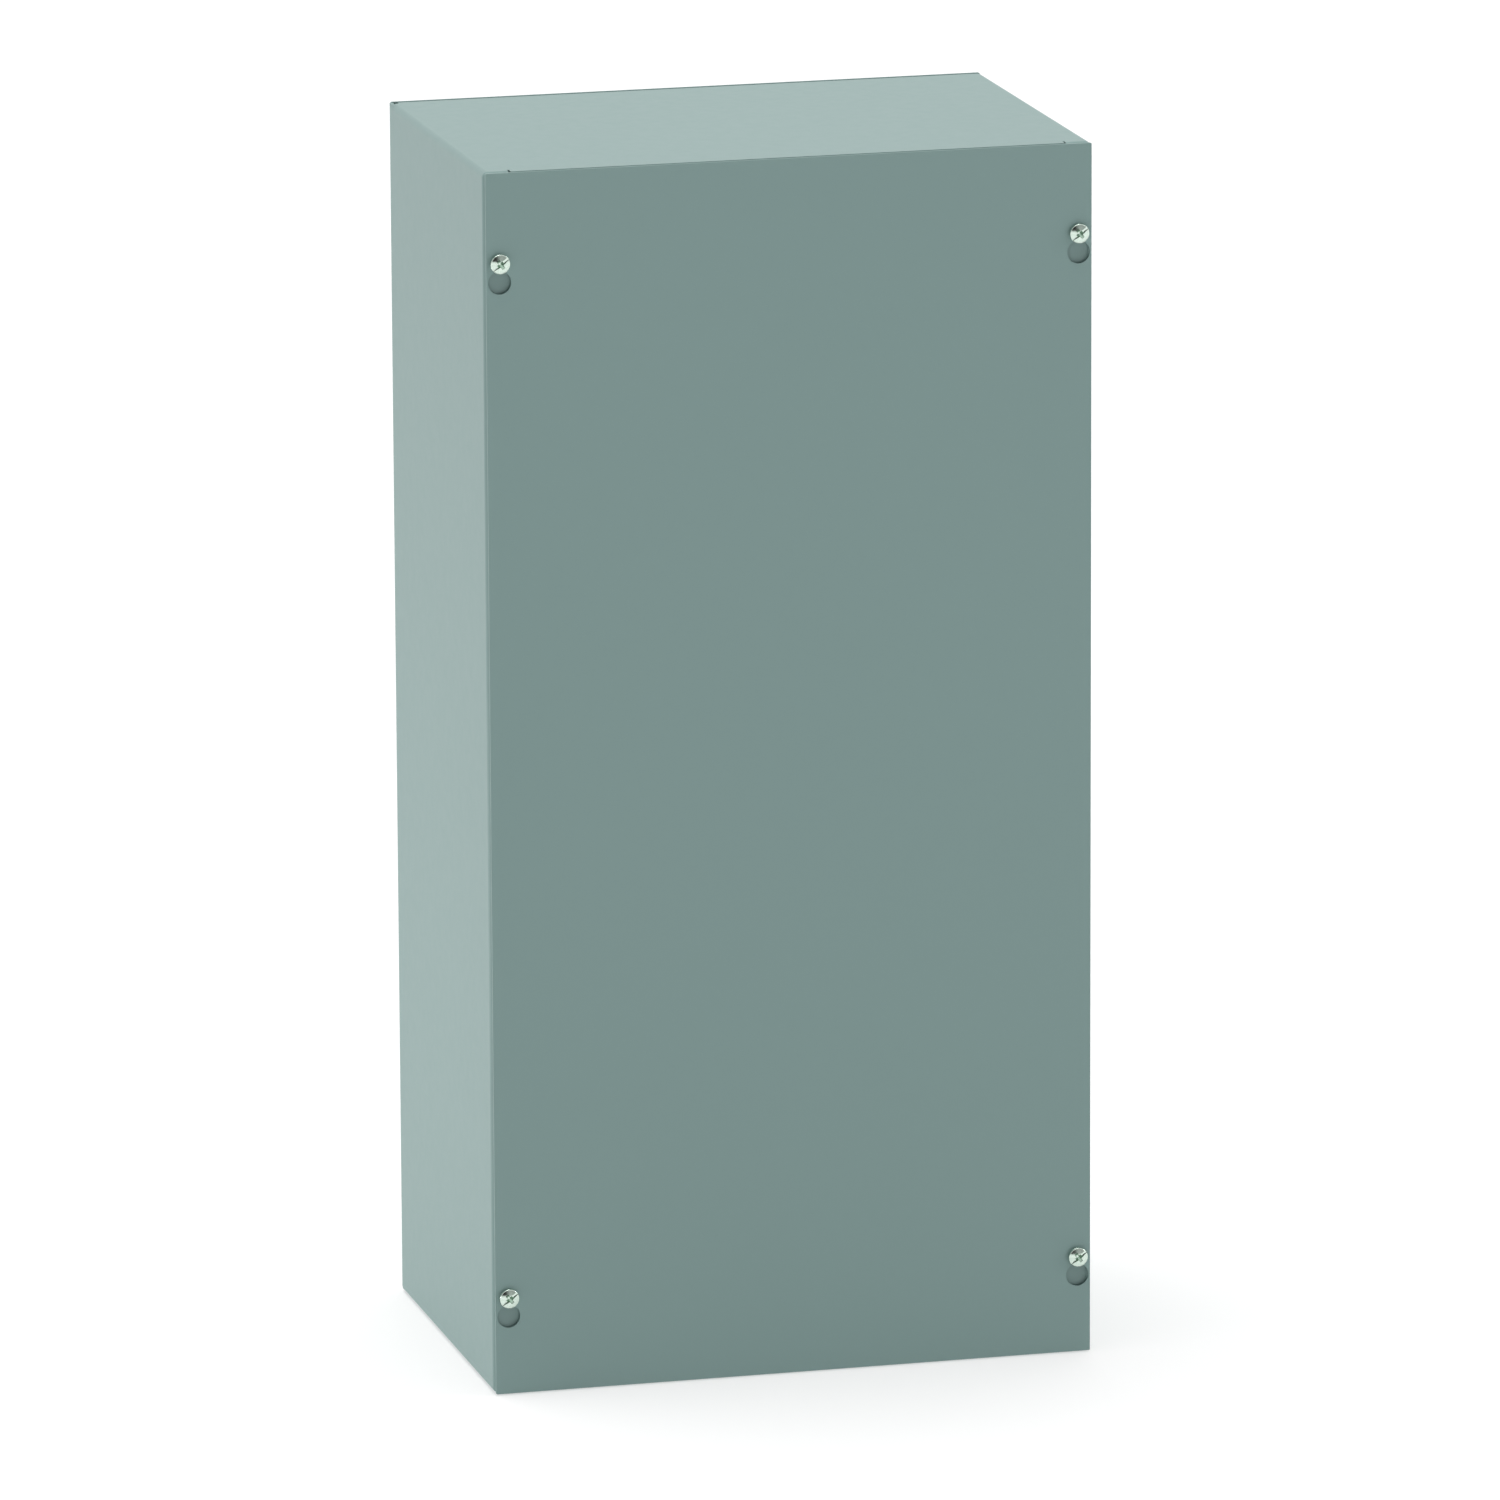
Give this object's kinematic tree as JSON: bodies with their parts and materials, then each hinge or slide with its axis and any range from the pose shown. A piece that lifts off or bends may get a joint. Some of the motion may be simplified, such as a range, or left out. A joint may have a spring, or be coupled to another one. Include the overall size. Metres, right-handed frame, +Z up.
{
  "type": "screw-cover switchboard cabinet",
  "caption": "Tall sheet-steel switchboard cabinet with a flat screwed cover on keyhole slots, mounting panel, top-hat rails, earth bar and earth stud.",
  "frame": {"origin": "centre of the bounding box's base, under the middle of the cabinet", "axes": "+Z up, +Y into the wall behind the cabinet, -Y out of the cover, +X to the right as seen from the front"},
  "size_m": [0.3048, 0.2064, 0.6096],
  "materials": {
    "body_paint": "satin grey-green powder coat",
    "back_paint": "satin grey-green powder coat",
    "cover_paint": "satin grey-green powder coat",
    "panel_paint": "satin white powder coat",
    "cover_screw_zinc": "bright zinc plate",
    "weld_nut_steel": "dull zinc plate",
    "stud_zinc": "bright zinc plate",
    "washer_zinc": "zinc plate",
    "nut_zinc": "bright zinc plate",
    "panel_screw_zinc": "bright zinc plate",
    "terminal_screw_zinc": "bright zinc plate",
    "rail_galvanised": "passivated galvanised steel",
    "earth_bar_brass": "drawn brass",
    "standoff_zinc": "zinc plate"
  },
  "bodies": {
    "enclosure": {"wrapper": "body_paint", "back_panel": "back_paint", "mounting_panel": "panel_paint", "weld_nut_top_left": "weld_nut_steel", "weld_nut_top_right": "weld_nut_steel", "weld_nut_bottom_left": "weld_nut_steel", "weld_nut_bottom_right": "weld_nut_steel", "panel_stud_top_left": "stud_zinc", "panel_washer_top_left": "washer_zinc", "panel_nut_top_left": "nut_zinc", "panel_stud_top_right": "stud_zinc", "panel_washer_top_right": "washer_zinc", "panel_nut_top_right": "nut_zinc", "panel_stud_bottom_left": "stud_zinc", "panel_washer_bottom_left": "washer_zinc", "panel_nut_bottom_left": "nut_zinc", "panel_stud_bottom_right": "stud_zinc", "panel_washer_bottom_right": "washer_zinc", "panel_nut_bottom_right": "nut_zinc", "ground_stud": "stud_zinc", "ground_washer": "washer_zinc", "ground_nut": "nut_zinc", "din_rail_upper": "rail_galvanised", "rail_screw_upper_left": "panel_screw_zinc", "rail_screw_upper_right": "panel_screw_zinc", "din_rail_lower": "rail_galvanised", "rail_screw_lower_left": "panel_screw_zinc", "rail_screw_lower_right": "panel_screw_zinc", "earth_bar": "earth_bar_brass", "earth_bar_standoff_left": "standoff_zinc", "earth_bar_screw_left": "panel_screw_zinc", "earth_bar_standoff_right": "standoff_zinc", "earth_bar_screw_right": "panel_screw_zinc", "terminal_screw_1": "terminal_screw_zinc", "terminal_screw_2": "terminal_screw_zinc", "terminal_screw_3": "terminal_screw_zinc", "terminal_screw_4": "terminal_screw_zinc", "terminal_screw_5": "terminal_screw_zinc", "terminal_screw_6": "terminal_screw_zinc", "terminal_screw_7": "terminal_screw_zinc", "terminal_screw_8": "terminal_screw_zinc"},
    "cover": {"cover": "cover_paint"},
    "cover_screw_top_left": {"cover_screw_top_left": "cover_screw_zinc"},
    "cover_screw_top_right": {"cover_screw_top_right": "cover_screw_zinc"},
    "cover_screw_bottom_left": {"cover_screw_bottom_left": "cover_screw_zinc"},
    "cover_screw_bottom_right": {"cover_screw_bottom_right": "cover_screw_zinc"}
  },
  "joints": [
    {"name": "screw_top_left_withdraw", "type": "slide", "parent": "enclosure", "child": "cover_screw_top_left", "axis": [0, -1, 0], "range_m": [0, 0.2]},
    {"name": "screw_top_right_withdraw", "type": "slide", "parent": "enclosure", "child": "cover_screw_top_right", "axis": [0, -1, 0], "range_m": [0, 0.2]},
    {"name": "screw_bottom_left_withdraw", "type": "slide", "parent": "enclosure", "child": "cover_screw_bottom_left", "axis": [0, -1, 0], "range_m": [0, 0.2]},
    {"name": "screw_bottom_right_withdraw", "type": "slide", "parent": "enclosure", "child": "cover_screw_bottom_right", "axis": [0, -1, 0], "range_m": [0, 0.2]},
    {"name": "cover_lift", "type": "slide", "parent": "cover_screw_top_left", "child": "cover", "axis": [0, 0, 1], "range_m": [0, 0.0094]}
  ],
  "couplings": [
    {"joint": "screw_top_right_withdraw", "follows": "screw_top_left_withdraw", "ratio": 1},
    {"joint": "screw_bottom_left_withdraw", "follows": "screw_top_left_withdraw", "ratio": 1},
    {"joint": "screw_bottom_right_withdraw", "follows": "screw_top_left_withdraw", "ratio": 1}
  ]
}
